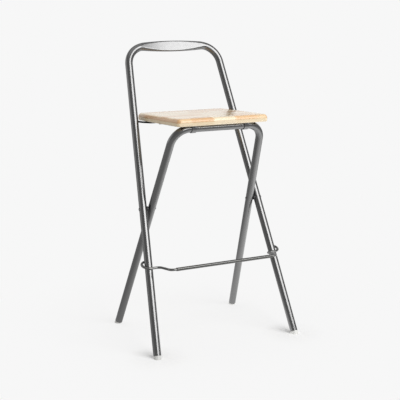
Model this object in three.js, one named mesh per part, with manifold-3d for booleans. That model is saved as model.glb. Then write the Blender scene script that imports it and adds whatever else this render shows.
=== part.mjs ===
// Folding bar stool: two crossed tubular steel frames that pivot on rivets, and a wooden seat that hangs on
// the inner frame's top bar and drops over a cross rod on the outer frame. Unfolded, standing on the floor.
// Millimetres. +Z is up, the sitter looks towards -Y, and +X is to the right of someone facing the stool.
import * as THREE from 'three';
import { mergeVertices } from 'three/addons/utils/BufferGeometryUtils.js';
import Module from 'manifold-3d';

const wasm = await Module();
wasm.setup();

// Driving sizes: outer frame, which is the backrest and the front legs
const pivotHeight = 430.7;
const outerTubeDiameter = 25;
const outerTubeWall = 1.5;
const outerFootReach = 183.8;
const outerFootHalfSpan = 250.3;
const outerTopHeight = 931;
const outerTopHalfSpan = 164.5;
const outerBendRadius = 66;
const backrestHalfLength = 121;
const backrestThickness = 8;

// Driving sizes: inner frame, which is the seat bar and the rear legs
const innerTubeDiameter = 24.4;
const innerTubeWall = 1.5;
const innerFootReach = 188.5;
const innerTopHeight = 694.6;
const innerTopHalfSpan = 154.2;
const innerBendRadius = 58;

// Driving sizes: seat
const seatWidth = 320;
const seatDepth = 305;
const seatThickness = 24;
const seatFrontOverhang = 37;
const seatTiltDegrees = 1.8;
const seatCornerRadius = 15;
const seatTopEdgeRadius = 12;
const seatBottomEdgeRadius = 5;
const seatGrooveDepth = 2.6;

// Driving sizes: rod under the rear of the seat, and its catches
const supportRodDiameter = 6;
const supportRodBehindBar = 190;
const supportRodRunHalfLength = 146;
const supportRodShoulderHalfLength = 163;
const supportRodSetBack = 33;
const supportRodEntryRise = 4.4;
const supportRodEntryAhead = 5.3;
const supportRodBendRadius = 11;
const catchSpacing = 210;
const catchWidth = 18;
const catchLength = 36;
const catchBaseThickness = 4.5;
const catchFingerThickness = 6;
const catchUndercutDegrees = 24;
const catchScrewPlaceShares = [0.47, 0.82];

// Driving sizes: clips that hold the seat on the bar
const clipSpacing = 185;
const clipWidth = 16;
const clipThickness = 2;
const clipFlangeLength = 13;
const clipBendRadius = 1.5;

// Driving sizes: footrest
const footrestRodDiameter = 8;
const footrestSleeveDiameter = 11;
const footrestSleeveLength = 346;
const footrestBarReach = 162.5;
const footrestBarHeight = 268;
const footrestHookHeight = 266;
const footrestHookTiltDegrees = 15;
const footrestHookTail = 3;
const footrestNeckInset = 30;
const footrestBarHalfLength = 191;
const footrestBendRadius = 15;

// Driving sizes: rivets, spacers, glides and screws
const rivetDiameter = 8;
const rivetHeadDiameter = 12;
const rivetHeadHeight = 1.6;
const rivetTailDiameter = 10;
const rivetTailHeight = 1.2;
const spacerDiameter = 15;
const spacerLength = 5.5;
const glideStemLength = 22;
const glideRimHeight = 8;
const glideRibHeight = 1;
const glideRibPlaceShare = 1 / 3;
const screwShankDiameter = 3.4;
const screwLength = 18;
const screwHeadDiameter = 7.6;
const screwHeadHeight = 2.4;

// Driving angle: how far the seat has turned on its bar when the stool is folded
const seatFlipDegrees = 105;

// Clearances
const touchGap = 0.3;
const mergeDistance = 0.01;
const screwPilotGap = 0.3;
const cutOverrun = 20;

// Facets
const tubeSides = 20;
const rodSides = 10;
const turnedSides = 16;
const bendSteps = 9;
const rodBendSteps = 5;
const backrestSteps = 14;
const seatCornerSteps = 6;
const seatTopEdgeSteps = 5;
const seatBottomEdgeSteps = 2;
const clipArcSteps = 12;
const catchArcSteps = 6;
const rivetDomeSteps = 4;

// Angles of the frames, and half spans of their legs at a height over the floor
const outerLean = Math.atan2(outerFootReach, pivotHeight);
const innerLean = Math.atan2(innerFootReach, pivotHeight);
const outerRadius = outerTubeDiameter / 2;
const innerRadius = innerTubeDiameter / 2;
const outerSplay = (outerFootHalfSpan - outerTopHalfSpan) / outerTopHeight;
const outerHalfSpanAt = (height) => outerFootHalfSpan - outerSplay * height;
const innerPivotHalfSpan = outerHalfSpanAt(pivotHeight) - outerRadius - spacerLength - innerRadius;
const innerSplay = (innerPivotHalfSpan - innerTopHalfSpan) / (innerTopHeight - pivotHeight);
const innerHalfSpanAt = (height) => innerTopHalfSpan + innerSplay * (innerTopHeight - height);
const seatTilt = THREE.MathUtils.degToRad(seatTiltDegrees);

const vector = (x, y, z) => new THREE.Vector3(x, y, z);

// Materials
const finish = (color, roughness, metalness) => () => (
  new THREE.MeshStandardMaterial({ color, roughness, metalness })
);
const lacqueredSteel = finish(0x77787b, 0.28, 0.85);
const brightSteel = finish(0xa9abae, 0.3, 0.9);
const blackRod = finish(0x202124, 0.45, 0.4);
const blackPlastic = finish(0x17181a, 0.55, 0);
const clearPlastic = finish(0xdcdcd6, 0.4, 0);
const lacqueredPine = finish(0xeed3ae, 0.35, 0);

// A named mesh of one sub-part
function piece(name, geometry, material) {
  const mesh = new THREE.Mesh(geometry, material);
  mesh.name = name;
  return mesh;
}

// Turns a geometry's triangles over if its signed volume is negative, so that its faces point out
function facingOut(geometry) {
  const points = geometry.getAttribute('position');
  const index = geometry.getIndex();
  const [a, b, c] = [new THREE.Vector3(), new THREE.Vector3(), new THREE.Vector3()];
  let volume = 0;
  for (let i = 0; i < index.count; i += 3) {
    a.fromBufferAttribute(points, index.getX(i));
    b.fromBufferAttribute(points, index.getX(i + 1));
    c.fromBufferAttribute(points, index.getX(i + 2));
    volume += a.dot(b.cross(c));
  }
  if (volume < 0) {
    geometry.setIndex([...index.array].reverse());
  }
  return geometry;
}

// A skin over rings of points that all have the same count. The rings end in caps, or run on into the first.
function skin(rings, endless = false) {
  const count = rings[0].length;
  const positions = rings.flat().flatMap((point) => point.toArray());
  const indices = [];
  const last = endless ? rings.length : rings.length - 1;
  for (let i = 0; i < last; i += 1) {
    const next = (i + 1) % rings.length;
    for (let j = 0; j < count; j += 1) {
      const k = (j + 1) % count;
      const [a, b, c, d] = [i * count + j, i * count + k, next * count + k, next * count + j];
      indices.push(a, b, c, a, c, d);
    }
  }
  if (!endless) {
    const lastRing = (rings.length - 1) * count;
    for (let j = 1; j < count - 1; j += 1) {
      indices.push(0, j + 1, j);
      indices.push(lastRing, lastRing + j, lastRing + j + 1);
    }
  }
  const geometry = new THREE.BufferGeometry();
  geometry.setAttribute('position', new THREE.Float32BufferAttribute(positions, 3));
  geometry.setIndex(indices);
  return facingOut(geometry);
}

// Corner points joined by straight runs, with each inner corner rounded to the radius that radiusAt gives it
function roundedPath(corners, radiusAt, steps) {
  const path = [corners[0].clone()];
  for (let i = 1; i < corners.length - 1; i += 1) {
    const radius = radiusAt(i);
    const into = corners[i].clone().sub(corners[i - 1]).normalize();
    const out = corners[i + 1].clone().sub(corners[i]).normalize();
    const turn = into.angleTo(out);
    const start = corners[i].clone().addScaledVector(into, -radius * Math.tan(turn / 2));
    const inward = out.clone().addScaledVector(into, -into.dot(out)).normalize();
    for (let k = 0; k <= steps; k += 1) {
      const angle = (turn * k) / steps;
      const along = radius * Math.sin(angle);
      const across = radius * (1 - Math.cos(angle));
      path.push(start.clone().addScaledVector(into, along).addScaledVector(inward, across));
    }
  }
  path.push(corners[corners.length - 1].clone());
  return path.filter((point, i) => i === 0 || point.distanceTo(path[i - 1]) > mergeDistance);
}

// Rings square to a path. A section's first coordinate lies along the reference direction.
function ringsAlong(path, reference, sectionAt) {
  return path.map((point, i) => {
    const before = path[Math.max(i - 1, 0)];
    const after = path[Math.min(i + 1, path.length - 1)];
    const into = point.clone().sub(before).normalize();
    const out = after.clone().sub(point).normalize();
    const tangent = into.add(out).normalize();
    const first = reference.clone().addScaledVector(tangent, -reference.dot(tangent)).normalize();
    const second = tangent.clone().cross(first);
    const place = ([a, b]) => point.clone().addScaledVector(first, a).addScaledVector(second, b);
    return sectionAt(point).map(place);
  });
}

// A round section flattened to a given thickness. Its girth stays that of the round tube.
function flattenedSection(radius, thickness, sides) {
  const flat = (Math.PI / 2) * (2 * radius - thickness);
  return Array.from({ length: sides }, (_, i) => {
    const angle = (2 * Math.PI * (i + 0.5)) / sides;
    const side = Math.sign(Math.sin(angle));
    return [(thickness / 2) * Math.cos(angle), (thickness / 2) * Math.sin(angle) + (side * flat) / 2];
  });
}

const roundSection = (radius, sides) => flattenedSection(radius, 2 * radius, sides);

// A solid rod, and a hollow tube whose thickness may change along its path
function rod(path, reference, diameter, sides = rodSides) {
  return skin(ringsAlong(path, reference, () => roundSection(diameter / 2, sides)));
}

function tube(path, reference, diameter, wall, thicknessAt = () => diameter) {
  const radius = diameter / 2;
  const outside = ringsAlong(path, reference, (p) => flattenedSection(radius, thicknessAt(p), tubeSides));
  const innerSection = (p) => flattenedSection(radius - wall, thicknessAt(p) - 2 * wall, tubeSides);
  const inside = ringsAlong(path, reference, innerSection);
  return skin([...outside, ...inside.reverse()], true);
}

// Solids for cutting, and back
function solid(geometry) {
  const bare = geometry.clone();
  bare.deleteAttribute('normal');
  bare.deleteAttribute('uv');
  const merged = mergeVertices(bare);
  const vertProperties = Float32Array.from(merged.getAttribute('position').array);
  const triVerts = Uint32Array.from(merged.getIndex().array);
  return new wasm.Manifold(new wasm.Mesh({ numProp: 3, vertProperties, triVerts }));
}

function geometryOf(manifold) {
  const { vertProperties, triVerts } = manifold.getMesh();
  const geometry = new THREE.BufferGeometry();
  geometry.setAttribute('position', new THREE.BufferAttribute(vertProperties, 3));
  geometry.setIndex(new THREE.BufferAttribute(triVerts, 1));
  return geometry;
}

function cut(geometry, ...tools) {
  return geometryOf(tools.reduce((body, tool) => body.subtract(solid(tool)), solid(geometry)));
}

// A turned piece: profile points are [radius, distance along the axis]
function turned(profile, sides = turnedSides) {
  const points = profile.map(([radius, along]) => new THREE.Vector2(radius, along));
  const geometry = new THREE.LatheGeometry(points, sides);
  geometry.rotateX(Math.PI / 2);
  geometry.deleteAttribute('normal');
  geometry.deleteAttribute('uv');
  return facingOut(mergeVertices(geometry));
}

// A round bar from one point to another, for holes
function bar(from, to, radius, sides = turnedSides) {
  const along = to.clone().sub(from);
  const geometry = new THREE.CylinderGeometry(radius, radius, along.length(), sides);
  geometry.applyQuaternion(new THREE.Quaternion().setFromUnitVectors(vector(0, 1, 0), along.normalize()));
  return geometry.translate(...from.clone().add(to).divideScalar(2).toArray());
}

// Frames. Each is a group at the pivot axis, leaning about X, and its tube lies in the group's XZ plane.
const stool = new THREE.Group();
stool.name = 'folding_bar_stool';
const outerFrame = new THREE.Group();
outerFrame.position.set(0, 0, pivotHeight);
outerFrame.rotation.x = -outerLean;
const innerFrame = new THREE.Group();
innerFrame.position.set(0, 0, pivotHeight);
innerFrame.rotation.x = innerLean;
stool.add(outerFrame, innerFrame);

// Seat group: its origin is the bar's axis, its XY plane is parallel to the board
const barRise = (innerTopHeight - pivotHeight) / Math.cos(innerLean);
const seat = new THREE.Group();
seat.position.set(0, 0, barRise);
seat.rotation.x = -innerLean - seatTilt;
innerFrame.add(seat);
stool.updateMatrixWorld(true);

// Places on the legs, in a frame's own plane
const outerAlong = (height) => (height - pivotHeight) / Math.cos(outerLean);
const innerAlong = (height) => (height - pivotHeight) / Math.cos(innerLean);
const outerLegPoint = (side, height) => vector(side * outerHalfSpanAt(height), 0, outerAlong(height));
const innerLegPoint = (side, height) => vector(side * innerHalfSpanAt(height), 0, innerAlong(height));
const frameNormal = vector(0, 1, 0);

// The U shaped path of a frame, from foot to foot, with points on its top bar where the shape asks for them
function framePath(legPoint, footHeight, topHeight, bendRadius, topPoints) {
  const left = [legPoint(-1, footHeight), legPoint(-1, topHeight)];
  const right = [legPoint(1, topHeight), legPoint(1, footHeight)];
  const corners = [...left, ...right];
  const path = roundedPath(corners, () => bendRadius, bendSteps);
  const half = path.length / 2;
  return [...path.slice(0, half), ...topPoints, ...path.slice(half)];
}

// Outer frame tube: pressed flat along the backrest, with a lens shaped flat on each face
function backrestThicknessAt(point) {
  const share = point.x / backrestHalfLength;
  const onBackrest = point.z > outerAlong(outerTopHeight) - outerRadius && Math.abs(share) < 1;
  const squeeze = onBackrest ? (outerTubeDiameter - backrestThickness) * (1 - share * share) : 0;
  return outerTubeDiameter - squeeze;
}

const outerTopPoints = Array.from({ length: backrestSteps + 1 }, (_, i) => {
  const share = (2 * i) / backrestSteps - 1;
  return vector(share * backrestHalfLength, 0, outerAlong(outerTopHeight));
}).filter((point) => Math.abs(point.x) < outerTopHalfSpan - outerBendRadius);

const outerPath = framePath(outerLegPoint, glideRimHeight, outerTopHeight, outerBendRadius, outerTopPoints);
const innerPath = framePath(innerLegPoint, glideRimHeight, innerTopHeight, innerBendRadius, []);

// Support rod under the seat: its run and its two shoulders rest against the board's underside, and its ends
// rise outside the board into holes in the legs
const undersideRise = innerRadius - seatGrooveDepth;
const supportRodRadius = supportRodDiameter / 2;
const supportRodDrop = undersideRise - supportRodRadius - touchGap;
const outerFromSeat = (x, y, z) => outerFrame.worldToLocal(seat.localToWorld(vector(x, y, z)));

function supportRodCorners(side) {
  const setBack = supportRodBehindBar + supportRodSetBack;
  const run = outerFromSeat(side * supportRodRunHalfLength, supportRodBehindBar, supportRodDrop);
  const shoulder = outerFromSeat(side * supportRodShoulderHalfLength, setBack, supportRodDrop);
  const entryRise = shoulder.z + supportRodEntryRise;
  const entrySpan = outerHalfSpanAt(pivotHeight + entryRise * Math.cos(outerLean));
  return [vector(side * entrySpan, -supportRodEntryAhead, entryRise), shoulder, run];
}

const supportCorners = [...supportRodCorners(-1), ...supportRodCorners(1).reverse()];
const supportPath = roundedPath(supportCorners, () => supportRodBendRadius, rodBendSteps);

function outerFrameTube() {
  const blank = tube(outerPath, frameNormal, outerTubeDiameter, outerTubeWall, backrestThicknessAt);
  const rodHoles = rod(supportPath, frameNormal, supportRodDiameter + 2 * touchGap);
  return cut(blank, rodHoles, ...pivotHoles(outerHalfSpanAt(pivotHeight)));
}

function innerFrameTube() {
  const blank = tube(innerPath, frameNormal, innerTubeDiameter, innerTubeWall);
  return cut(blank, ...pivotHoles(innerHalfSpanAt(pivotHeight)));
}

function pivotHoles(halfSpan) {
  const holeRadius = rivetDiameter / 2 + touchGap;
  const near = halfSpan - outerTubeDiameter;
  const far = halfSpan + outerTubeDiameter;
  return [-1, 1].map((side) => bar(vector(side * near, 0, 0), vector(side * far, 0, 0), holeRadius));
}

outerFrame.add(piece('outer_frame_tube', outerFrameTube(), lacqueredSteel()));
innerFrame.add(piece('inner_frame_tube', innerFrameTube(), lacqueredSteel()));
outerFrame.add(piece('seat_support_rod', rod(supportPath, frameNormal, supportRodDiameter), blackRod()));

// Pivots: the rivet's head is outside the outer leg, its tail is inside the inner leg
const outerPivotSpan = outerHalfSpanAt(pivotHeight);
const innerPivotSpan = innerHalfSpanAt(pivotHeight);
const outerHeadSeat = outerPivotSpan + outerRadius + (outerSplay * rivetHeadDiameter) / 2 + touchGap;
const innerTailSeat = innerPivotSpan - innerRadius - (innerSplay * rivetTailDiameter) / 2 - touchGap;

function rivet() {
  const head = Array.from({ length: rivetDomeSteps + 1 }, (_, i) => {
    const angle = (Math.PI / 2) * (i / rivetDomeSteps);
    return [(rivetHeadDiameter / 2) * Math.cos(angle), outerHeadSeat + rivetHeadHeight * Math.sin(angle)];
  });
  return turned([
    [0, innerTailSeat - rivetTailHeight],
    [rivetTailDiameter / 2 - rivetTailHeight / 2, innerTailSeat - rivetTailHeight],
    [rivetTailDiameter / 2, innerTailSeat - rivetTailHeight / 2],
    [rivetTailDiameter / 2, innerTailSeat],
    [rivetDiameter / 2, innerTailSeat],
    [rivetDiameter / 2, outerHeadSeat],
    ...head,
  ]);
}

// Spacer: a saddle against the outer leg, and a flat face that the inner leg turns against
function spacer() {
  const flatFace = innerPivotSpan + innerRadius + (innerSplay * spacerDiameter) / 2 + touchGap;
  const ring = turned([
    [rivetDiameter / 2 + touchGap, flatFace],
    [spacerDiameter / 2, flatFace],
    [spacerDiameter / 2, outerPivotSpan],
    [rivetDiameter / 2 + touchGap, outerPivotSpan],
    [rivetDiameter / 2 + touchGap, flatFace],
  ], tubeSides);
  const lean = Math.atan(outerSplay * Math.cos(outerLean));
  const saddleRadius = outerRadius + touchGap;
  const leg = new THREE.CylinderGeometry(saddleRadius, saddleRadius, 2 * spacerDiameter, 2 * tubeSides);
  leg.rotateX(Math.PI / 2);
  leg.rotateY(-lean);
  leg.translate(outerPivotSpan, 0, 0);
  return cut(layAlongX(ring, 1), leg);
}

// Lays a turned piece along the pivot axis, on the left or the right
function layAlongX(geometry, side) {
  return geometry.rotateY((side * Math.PI) / 2);
}

const sides = [['left', -1], ['right', 1]];
for (const [word, side] of sides) {
  outerFrame.add(piece(`pivot_rivet_${word}`, layAlongX(rivet(), side), brightSteel()));
  const saddle = spacer();
  if (side < 0) {
    saddle.scale(-1, 1, 1);
  }
  outerFrame.add(piece(`pivot_spacer_${word}`, facingOut(saddle), blackPlastic()));
}

// Glides: a ribbed stem pushed up the tube, and a rim as wide as the tube that is trimmed flat on the floor
function glide(frame, legPoint, side, diameter, wall) {
  const bore = diameter / 2 - wall - touchGap;
  const core = bore - glideRibHeight;
  const rimBlank = glideRimHeight + diameter;
  const ribPlace = glideRibPlaceShare * glideStemLength;
  const plug = turned([
    [0, -rimBlank],
    [diameter / 2, -rimBlank],
    [diameter / 2, 0],
    [core, 0],
    [core, ribPlace],
    [bore, ribPlace + glideRibHeight],
    [core, ribPlace + 2 * glideRibHeight],
    [core, glideStemLength - glideRibHeight],
    [core - glideRibHeight, glideStemLength],
    [0, glideStemLength],
  ]);
  const foot = legPoint(side, 0);
  const tubeEnd = legPoint(side, glideRimHeight);
  const upLeg = tubeEnd.clone().sub(foot).normalize();
  const rimTop = tubeEnd.addScaledVector(upLeg, -touchGap);
  plug.applyQuaternion(new THREE.Quaternion().setFromUnitVectors(vector(0, 0, 1), upLeg));
  plug.translate(...rimTop.toArray());
  return trimmedToFloor(frame, plug, frame.localToWorld(foot), 2 * rimBlank);
}

// Takes off what a frame's piece has below the floor, round a place on it
function trimmedToFloor(frame, geometry, place, reach) {
  const ground = new THREE.BoxGeometry(2 * reach, 2 * reach, reach);
  ground.translate(place.x, place.y, -reach / 2);
  const inStool = geometry.applyMatrix4(frame.matrixWorld);
  return cut(inStool, ground).applyMatrix4(frame.matrixWorld.clone().invert());
}

for (const [word, side] of sides) {
  const frontGlide = glide(outerFrame, outerLegPoint, side, outerTubeDiameter, outerTubeWall);
  const rearGlide = glide(innerFrame, innerLegPoint, side, innerTubeDiameter, innerTubeWall);
  outerFrame.add(piece(`front_glide_${word}`, frontGlide, clearPlastic()));
  innerFrame.add(piece(`rear_glide_${word}`, rearGlide, clearPlastic()));
}

// Footrest: one rod bent into a bar that stands ahead of the legs, two necks, and a tilted hook round each
// leg. The load on the bar tips the hooks, so they bite on the leg in front, low down, and behind, higher up.
const footrestRadius = footrestRodDiameter / 2;
const hookTilt = THREE.MathUtils.degToRad(footrestHookTiltDegrees);
const hookRadius = (outerRadius + footrestRadius + touchGap) / Math.cos(outerLean + hookTilt);
const hookMiddle = vector(0, (footrestHookHeight - pivotHeight) * Math.tan(outerLean), footrestHookHeight);
const hookAcross = vector(0, Math.cos(hookTilt), Math.sin(hookTilt)).multiplyScalar(hookRadius);
const hookFront = hookMiddle.clone().sub(hookAcross);
const hookBack = hookMiddle.clone().add(hookAcross);
const hookSpan = outerHalfSpanAt(footrestHookHeight);

function footrestCorners(side) {
  const outermost = hookSpan + hookRadius;
  const tail = hookSpan - footrestHookTail;
  return [
    vector(side * tail, hookBack.y, hookBack.z),
    vector(side * outermost, hookBack.y, hookBack.z),
    vector(side * outermost, hookFront.y, hookFront.z),
    vector(side * (hookSpan - footrestNeckInset), hookFront.y, hookFront.z),
    vector(side * footrestBarHalfLength, -footrestBarReach, footrestBarHeight),
  ];
}

// The radii at a side's corners, from the hook's tail, which has none, to the bar
const footrestRadii = [0, hookRadius, hookRadius, footrestBendRadius, footrestBendRadius];
const footrestOutlineRadii = [...footrestRadii, ...footrestRadii.toReversed()];
const footrestOutline = [...footrestCorners(-1), ...footrestCorners(1).reverse()];
const footrestPath = roundedPath(footrestOutline, (i) => footrestOutlineRadii[i], rodBendSteps);
const upward = vector(0, 0, 1);
stool.add(piece('footrest_rod', rod(footrestPath, upward, footrestRodDiameter), lacqueredSteel()));

// Sleeve that turns on the footrest's bar, between the necks
const sleeveEnd = (side) => vector((side * footrestSleeveLength) / 2, -footrestBarReach, footrestBarHeight);
const sleevePath = [sleeveEnd(-1), sleeveEnd(1)];
const sleeveWall = (footrestSleeveDiameter - footrestRodDiameter) / 2 - touchGap;
const sleeveTube = tube(sleevePath, upward, footrestSleeveDiameter, sleeveWall);
stool.add(piece('footrest_sleeve', sleeveTube, lacqueredSteel()));

// Seat board, in the seat's own axes: X across, Y to the rear from the bar's axis, Z up from it
function boardRing(inset, height) {
  const radius = seatCornerRadius - inset;
  const halfWidth = seatWidth / 2 - seatCornerRadius;
  const front = -seatFrontOverhang + seatCornerRadius;
  const rear = seatDepth - seatFrontOverhang - seatCornerRadius;
  const centres = [[halfWidth, rear], [-halfWidth, rear], [-halfWidth, front], [halfWidth, front]];
  return centres.flatMap(([x, y], quarter) => Array.from({ length: seatCornerSteps + 1 }, (_, i) => {
    const angle = (Math.PI / 2) * (quarter + i / seatCornerSteps);
    return vector(x + radius * Math.cos(angle), y + radius * Math.sin(angle), height);
  }));
}

// Rings round a rounded edge: from a flat face's rim out to the full outline
function edgeRings(faceHeight, towardsFace, radius, steps) {
  return Array.from({ length: steps + 1 }, (_, i) => {
    const angle = (Math.PI / 2) * (i / steps);
    const inset = radius * (1 - Math.sin(angle));
    return boardRing(inset, faceHeight - towardsFace * radius * (1 - Math.cos(angle)));
  });
}

// The groove for the bar runs out where the bar's bends have sunk below the board. When the stool is folded,
// the bends lie nearly along the board's front, so it has a shallow relief for them there.
const barTurn = Math.PI / 2 - Math.atan(innerSplay * Math.cos(innerLean));
const barHalfLength = innerTopHalfSpan - innerBendRadius * Math.tan(barTurn / 2);
const grooveRunOut = Math.sqrt(2 * (innerBendRadius + innerRadius) * (seatGrooveDepth + touchGap));
const grooveHalfLength = barHalfLength + grooveRunOut + touchGap;
const seatFlip = THREE.MathUtils.degToRad(seatFlipDegrees);

function bendRelief() {
  const atRest = rod(innerPath, frameNormal, innerTubeDiameter + 2 * touchGap, 2 * tubeSides);
  return atRest.applyMatrix4(seat.matrix.clone().invert()).rotateX(-seatFlip);
}

function seatBoard() {
  const bottom = edgeRings(undersideRise, -1, seatBottomEdgeRadius, seatBottomEdgeSteps);
  const top = edgeRings(undersideRise + seatThickness, 1, seatTopEdgeRadius, seatTopEdgeSteps);
  const blank = skin([...bottom, ...top.reverse()]);
  const groove = bar(
    vector(-grooveHalfLength, 0, 0),
    vector(grooveHalfLength, 0, 0),
    innerRadius + touchGap,
    2 * tubeSides,
  );
  const pilots = screwPlaces.map(([x, y, headSeat]) => bar(
    vector(x, y, headSeat),
    vector(x, y, headSeat + screwLength + screwPilotGap),
    screwShankDiameter / 2 + screwPilotGap,
    rodSides,
  ));
  return cut(blank, groove, bendRelief(), ...pilots);
}

// Clips: a strap bent round the bar's underside, with a flange in front and behind
const strapInner = innerRadius + touchGap;
const strapOuter = strapInner + clipThickness;
const flangeTop = undersideRise - touchGap;
const flangeBottom = flangeTop - clipThickness;
const flangeTip = strapOuter + clipFlangeLength;
const clipScrewReach = strapOuter + clipFlangeLength / 2;

function clip() {
  const bendPlace = strapOuter + clipBendRadius;
  const outline = new THREE.Shape();
  outline.moveTo(-flangeTip, flangeTop);
  outline.lineTo(-strapInner, flangeTop);
  outline.lineTo(-strapInner, 0);
  outline.absarc(0, 0, strapInner, Math.PI, 2 * Math.PI, false);
  outline.lineTo(strapInner, flangeTop);
  outline.lineTo(flangeTip, flangeTop);
  outline.lineTo(flangeTip, flangeBottom);
  outline.absarc(bendPlace, flangeBottom - clipBendRadius, clipBendRadius, Math.PI / 2, Math.PI, false);
  outline.lineTo(strapOuter, 0);
  outline.absarc(0, 0, strapOuter, 2 * Math.PI, Math.PI, true);
  outline.lineTo(-strapOuter, flangeBottom - clipBendRadius);
  outline.absarc(-bendPlace, flangeBottom - clipBendRadius, clipBendRadius, 0, Math.PI / 2, false);
  outline.lineTo(-flangeTip, flangeBottom);
  outline.closePath();
  const strap = acrossSeat(outline, clipWidth, clipArcSteps);
  const holes = [-1, 1].map((end) => bar(
    vector(0, end * clipScrewReach, flangeBottom - cutOverrun),
    vector(0, end * clipScrewReach, flangeTop + cutOverrun),
    screwShankDiameter / 2 + screwPilotGap,
    rodSides,
  ));
  return cut(strap, ...holes);
}

// Extrudes an outline drawn in the seat's Y and Z across it, centred on X
function acrossSeat(outline, width, steps) {
  const settings = { depth: width, bevelEnabled: false, curveSegments: steps };
  const geometry = new THREE.ExtrudeGeometry(outline, settings);
  geometry.translate(0, 0, -width / 2);
  const axes = new THREE.Matrix4().makeBasis(vector(0, 1, 0), vector(0, 0, 1), vector(1, 0, 0));
  return geometry.applyMatrix4(axes);
}

// Catches: a moulded finger behind the support rod, curled a little under it, on a base plate
const rodPocket = supportRodRadius + touchGap;
const catchTop = supportRodDrop + rodPocket - touchGap;
const catchBottom = catchTop - catchBaseThickness;
const catchEnd = supportRodBehindBar + catchLength;
const catchUndercut = THREE.MathUtils.degToRad(catchUndercutDegrees);

function rearCatch() {
  const pocketTop = Math.asin((catchTop - supportRodDrop) / rodPocket);
  const down = vector(-Math.sin(catchUndercut), -Math.cos(catchUndercut), 0);
  const out = vector(Math.cos(catchUndercut), -Math.sin(catchUndercut), 0);
  const rodCentre = vector(supportRodBehindBar, supportRodDrop, 0);
  const lip = rodCentre.clone().addScaledVector(out, rodPocket).addScaledVector(down, supportRodRadius);
  const heel = lip.clone().addScaledVector(out, catchFingerThickness);
  const tip = lip.clone().add(heel).divideScalar(2).addScaledVector(down, catchFingerThickness / 2);
  const rootOfFinger = heel.x + catchFingerThickness / 2;
  const outline = new THREE.Shape();
  outline.moveTo(catchEnd, catchTop);
  outline.absarc(rodCentre.x, rodCentre.y, rodPocket, pocketTop, -catchUndercut, true);
  outline.lineTo(lip.x, lip.y);
  outline.quadraticCurveTo(lip.x + down.x, tip.y, tip.x, tip.y);
  outline.quadraticCurveTo(heel.x, tip.y, heel.x, heel.y);
  outline.quadraticCurveTo(heel.x, catchBottom, rootOfFinger, catchBottom);
  outline.lineTo(catchEnd, catchBottom);
  outline.closePath();
  const body = acrossSeat(outline, catchWidth, catchArcSteps);
  const holes = catchScrewPlaceShares.map((share) => bar(
    vector(0, supportRodBehindBar + share * catchLength, catchBottom - cutOverrun),
    vector(0, supportRodBehindBar + share * catchLength, catchTop + cutOverrun),
    screwShankDiameter / 2 + screwPilotGap,
    rodSides,
  ));
  return cut(body, ...holes);
}

// Screws, driven up into the board: [across, behind the bar, height under the head]
const clipScrewPlaces = sides.flatMap(([word, side]) => [['front', -1], ['rear', 1]].map(([end, way]) => ({
  name: `clip_screw_${word}_${end}`,
  place: [(side * clipSpacing) / 2, way * clipScrewReach, flangeBottom - touchGap],
})));
const catchScrewPlaces = sides.flatMap(([word, side]) => catchScrewPlaceShares.map((share, i) => ({
  name: `catch_screw_${word}_${['front', 'rear'][i]}`,
  place: [(side * catchSpacing) / 2, supportRodBehindBar + share * catchLength, catchBottom - touchGap],
})));
const screws = [...clipScrewPlaces, ...catchScrewPlaces];
const screwPlaces = screws.map(({ place }) => place);

function screw() {
  const shank = screwShankDiameter / 2;
  const head = screwHeadDiameter / 2;
  return turned([
    [0, -screwHeadHeight],
    [head / 2, -screwHeadHeight],
    [head, -screwHeadHeight / 2],
    [head, 0],
    [shank, 0],
    [shank, screwLength - screwShankDiameter],
    [0, screwLength],
  ], rodSides);
}

seat.add(piece('seat_board', seatBoard(), lacqueredPine()));
for (const [word, side] of sides) {
  const strap = piece(`seat_clip_${word}`, clip(), lacqueredSteel());
  strap.position.x = (side * clipSpacing) / 2;
  const hook = piece(`seat_catch_${word}`, rearCatch(), blackPlastic());
  hook.position.x = (side * catchSpacing) / 2;
  seat.add(strap, hook);
}
for (const { name, place } of screws) {
  const fastener = piece(name, screw(), brightSteel());
  fastener.position.set(...place);
  seat.add(fastener);
}

// The stool's origin is on the floor, under the middle of its box
stool.updateMatrixWorld(true);
const box = new THREE.Box3().setFromObject(stool, true);
stool.position.y = -(box.min.y + box.max.y) / 2;

export default stool;
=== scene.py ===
# A folding bar stool in grey lacquered steel tube, with a seat of finger-jointed pine.
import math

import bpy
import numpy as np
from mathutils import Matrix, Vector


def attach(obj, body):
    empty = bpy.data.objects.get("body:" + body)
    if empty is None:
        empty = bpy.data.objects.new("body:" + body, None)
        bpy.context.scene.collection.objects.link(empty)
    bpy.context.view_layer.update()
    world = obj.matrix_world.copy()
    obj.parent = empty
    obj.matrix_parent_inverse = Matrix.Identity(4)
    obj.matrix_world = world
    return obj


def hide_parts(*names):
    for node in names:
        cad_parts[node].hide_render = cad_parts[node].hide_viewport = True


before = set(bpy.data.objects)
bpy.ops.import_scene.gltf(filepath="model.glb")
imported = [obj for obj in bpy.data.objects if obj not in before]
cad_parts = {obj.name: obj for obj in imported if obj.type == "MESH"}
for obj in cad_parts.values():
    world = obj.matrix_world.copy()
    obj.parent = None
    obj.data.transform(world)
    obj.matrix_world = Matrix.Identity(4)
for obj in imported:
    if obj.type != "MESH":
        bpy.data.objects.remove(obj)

# %% [markdown]
# The stool is two bent steel tubes that cross like scissors. The longer one is the backrest and
# the front legs, and the shorter one carries the seat and is the rear legs. The frame that was
# just loaded already has every part in its place, so this lesson gives each part its true smooth
# shape and its finish, and then lights and photographs the whole.

MM = 0.001
SIDES = (("left", -1), ("right", 1))
SHARP_EDGE = math.radians(35)
scene = bpy.context.scene
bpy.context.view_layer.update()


def put(name, data):
    """A new object in the scene, with its data."""
    thing = bpy.data.objects.new(name, data)
    scene.collection.objects.link(thing)
    return thing


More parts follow.
